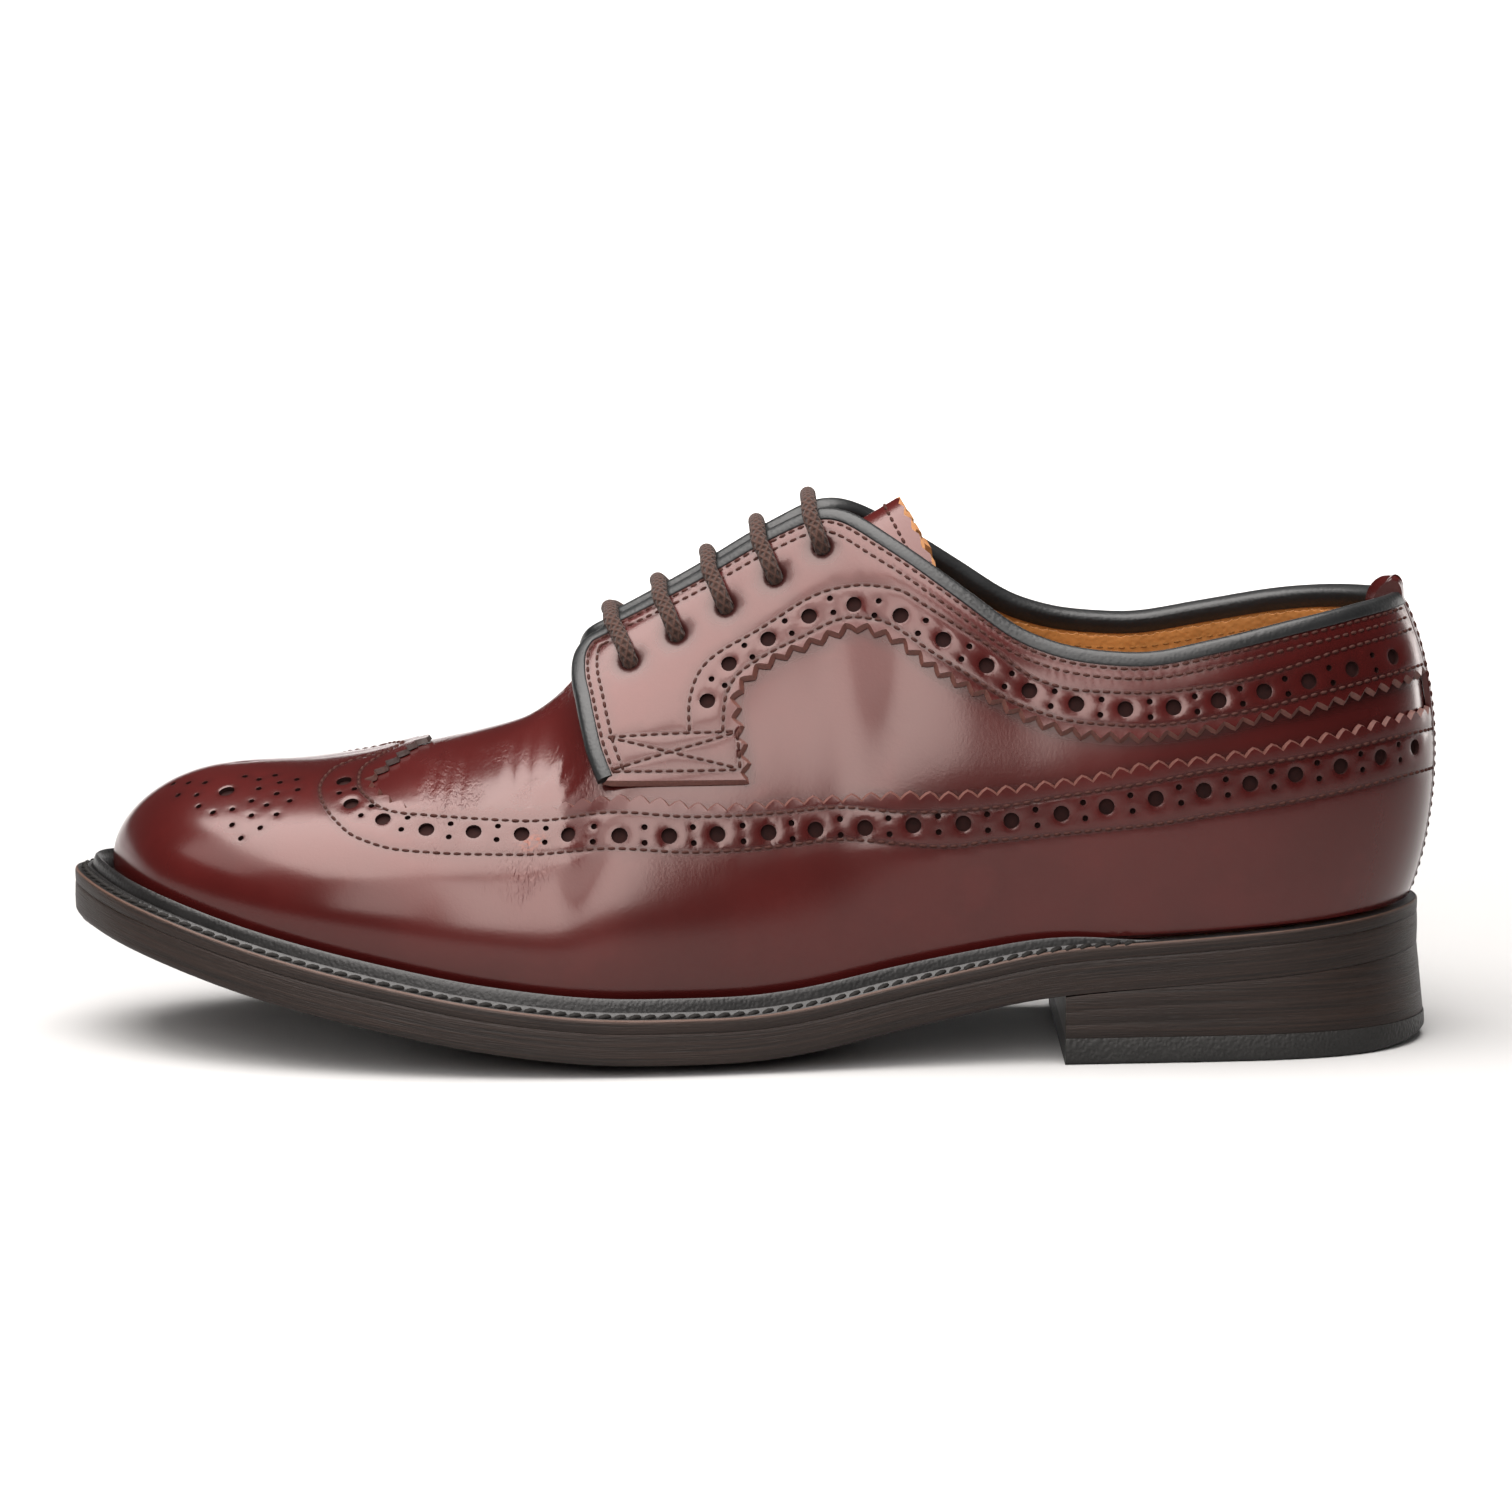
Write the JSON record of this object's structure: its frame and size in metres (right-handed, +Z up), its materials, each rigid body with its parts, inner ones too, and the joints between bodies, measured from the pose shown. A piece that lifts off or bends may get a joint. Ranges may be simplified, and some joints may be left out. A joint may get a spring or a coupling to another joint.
{
  "type": "brogue derby shoe",
  "caption": "Left men's longwing brogue derby in burgundy leather with open lacing over five eyelet pairs, storm welt, thick leather sole and stacked heel.",
  "frame": {"origin": "on the floor, below the middle of the bounding box", "axes": "+Z up, -X towards the toe, +X towards the heel, -Y towards the outer side of the left foot"},
  "size_m": [0.3105, 0.1093, 0.1258],
  "materials": {
    "burgundy_leather": "polished",
    "sole_leather": "burnished",
    "welt_leather": "satin",
    "binding_leather": "satin",
    "insole_leather": "matte",
    "top_piece_rubber": "matte",
    "lace_cotton": "woven"
  },
  "bodies": {
    "root": {"outsole": "sole_leather", "welt": "welt_leather", "heel_stack": "sole_leather", "heel_top_piece": "top_piece_rubber", "insole": "insole_leather", "upper": "burgundy_leather", "wing_cap": "burgundy_leather", "facing_outer": "burgundy_leather", "facing_inner": "burgundy_leather", "back_strip": "burgundy_leather", "binding_outer": "binding_leather", "binding_inner": "binding_leather", "tongue": "burgundy_leather", "lace_bar_1": "lace_cotton", "lace_bar_2": "lace_cotton", "lace_bar_3": "lace_cotton", "lace_bar_4": "lace_cotton", "lace_bar_5": "lace_cotton"}
  },
  "joints": []
}
